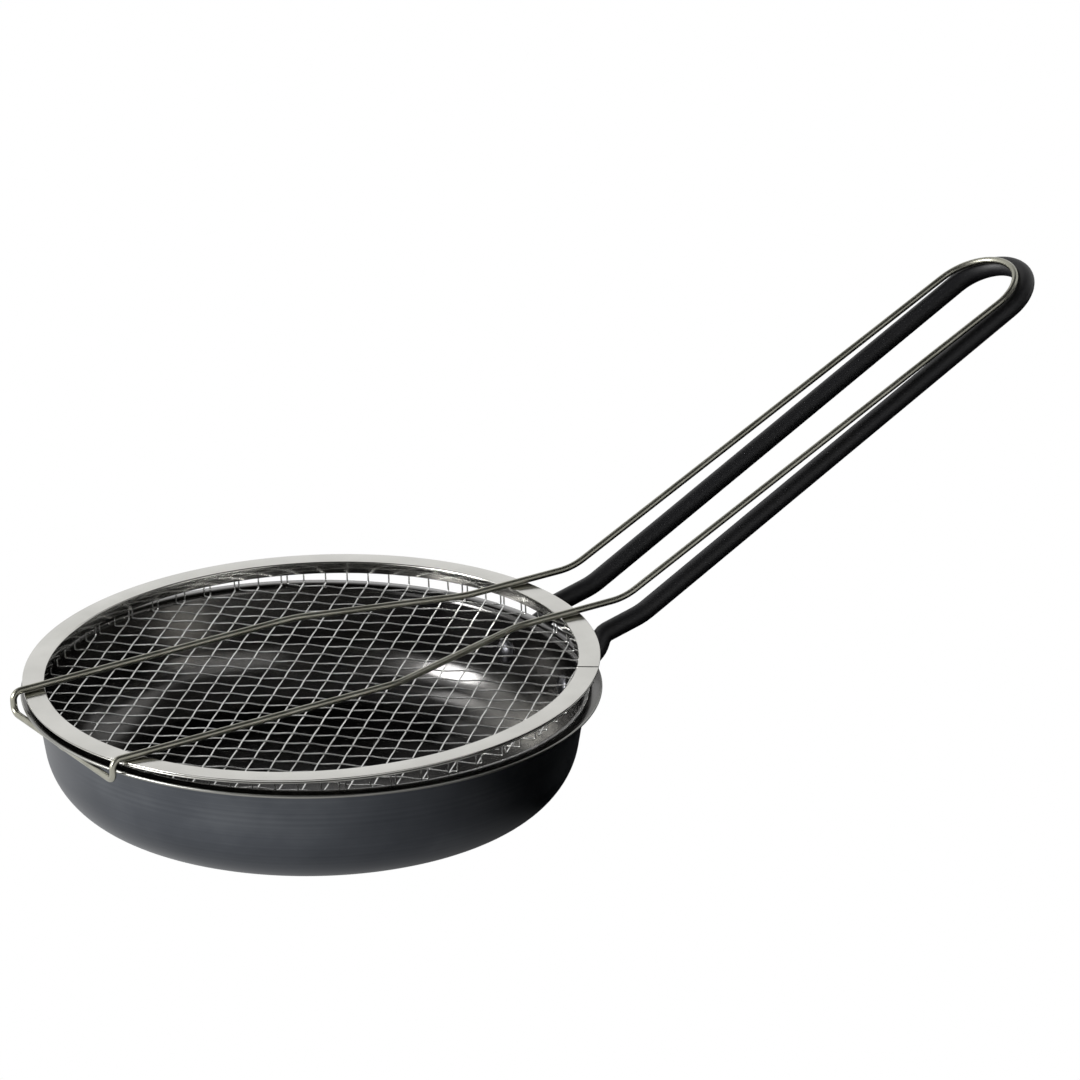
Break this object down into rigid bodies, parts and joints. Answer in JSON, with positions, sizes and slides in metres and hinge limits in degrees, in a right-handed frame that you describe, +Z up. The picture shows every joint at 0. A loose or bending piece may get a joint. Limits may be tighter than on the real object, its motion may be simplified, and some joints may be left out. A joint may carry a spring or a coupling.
{
  "type": "coffee roaster",
  "caption": "Hand-held roasting pan with a hairpin rod handle and a hinged wire-mesh lid on a long bent-wire frame.",
  "frame": {"origin": "centre of the underside of the pan's flat base", "axes": "+Z up, +X along the handle, away from the pan; +Y to the left of the handle"},
  "size_m": [0.3983, 0.2012, 0.145],
  "materials": {
    "pan_steel": "blued carbon steel, satin",
    "handle_black": "matte black coating",
    "rivet_steel": "satin",
    "ring_polished": "polished stainless steel",
    "ring_under": "stainless steel",
    "frame_wire": "drawn stainless wire",
    "mesh_wire": "drawn stainless wire"
  },
  "bodies": {
    "pan": {"pan_shell": "pan_steel", "pan_handle": "handle_black", "rivet_left": "rivet_steel", "rivet_right": "rivet_steel"},
    "lid": {"ring_upper": "ring_polished", "ring_lower": "ring_under", "lid_frame": "frame_wire", "mesh_a_01": "mesh_wire", "mesh_a_02": "mesh_wire", "mesh_a_03": "mesh_wire", "mesh_a_04": "mesh_wire", "mesh_a_05": "mesh_wire", "mesh_a_06": "mesh_wire", "mesh_a_07": "mesh_wire", "mesh_a_08": "mesh_wire", "mesh_a_09": "mesh_wire", "mesh_a_10": "mesh_wire", "mesh_a_11": "mesh_wire", "mesh_a_12": "mesh_wire", "mesh_a_13": "mesh_wire", "mesh_a_14": "mesh_wire", "mesh_a_15": "mesh_wire", "mesh_a_16": "mesh_wire", "mesh_a_17": "mesh_wire", "mesh_a_18": "mesh_wire", "mesh_a_19": "mesh_wire", "mesh_a_20": "mesh_wire", "mesh_a_21": "mesh_wire", "mesh_a_22": "mesh_wire", "mesh_a_23": "mesh_wire", "mesh_a_24": "mesh_wire", "mesh_b_01": "mesh_wire", "mesh_b_02": "mesh_wire", "mesh_b_03": "mesh_wire", "mesh_b_04": "mesh_wire", "mesh_b_05": "mesh_wire", "mesh_b_06": "mesh_wire", "mesh_b_07": "mesh_wire", "mesh_b_08": "mesh_wire", "mesh_b_09": "mesh_wire", "mesh_b_10": "mesh_wire", "mesh_b_11": "mesh_wire", "mesh_b_12": "mesh_wire", "mesh_b_13": "mesh_wire", "mesh_b_14": "mesh_wire", "mesh_b_15": "mesh_wire", "mesh_b_16": "mesh_wire", "mesh_b_17": "mesh_wire", "mesh_b_18": "mesh_wire", "mesh_b_19": "mesh_wire", "mesh_b_20": "mesh_wire", "mesh_b_21": "mesh_wire", "mesh_b_22": "mesh_wire", "mesh_b_23": "mesh_wire", "mesh_b_24": "mesh_wire"}
  },
  "joints": [
    {"name": "lid_hinge", "type": "hinge", "parent": "pan", "child": "lid", "pos_m": [-0.09695, 0, 0.0379], "axis": [0, -1, 0], "range_deg": [0, 75]}
  ]
}
